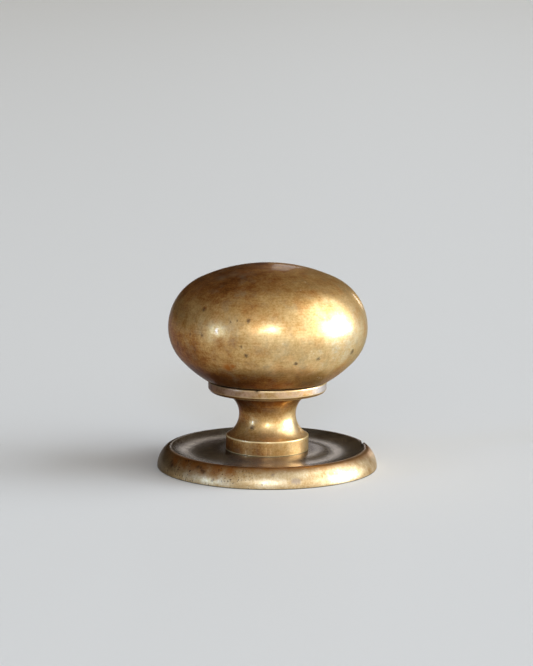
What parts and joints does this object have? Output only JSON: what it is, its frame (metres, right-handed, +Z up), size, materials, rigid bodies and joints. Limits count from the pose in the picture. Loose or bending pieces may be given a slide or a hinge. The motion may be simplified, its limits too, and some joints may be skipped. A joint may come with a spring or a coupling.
{
  "type": "cabinet knob",
  "caption": "Turned brass cabinet knob with an oval head, thin collar and hollowed neck, standing on a round dished backplate with a rounded rim.",
  "frame": {"origin": "centre of the rose's flat back face, which lies on the door or drawer front", "axes": "+Z up the knob's axis, from the back face to the top of the head; the shape is turned about it, apart from a small knock in the rose's rim towards +X"},
  "size_m": [0.0356, 0.0356, 0.0329],
  "materials": {
    "rose_brass": "aged, brown patina in the dish, rubbed bright on the rim",
    "knob_brass": "aged, rubbed by hand to a soft shine"
  },
  "bodies": {
    "root": {"rose": "rose_brass", "knob": "knob_brass"}
  },
  "joints": []
}
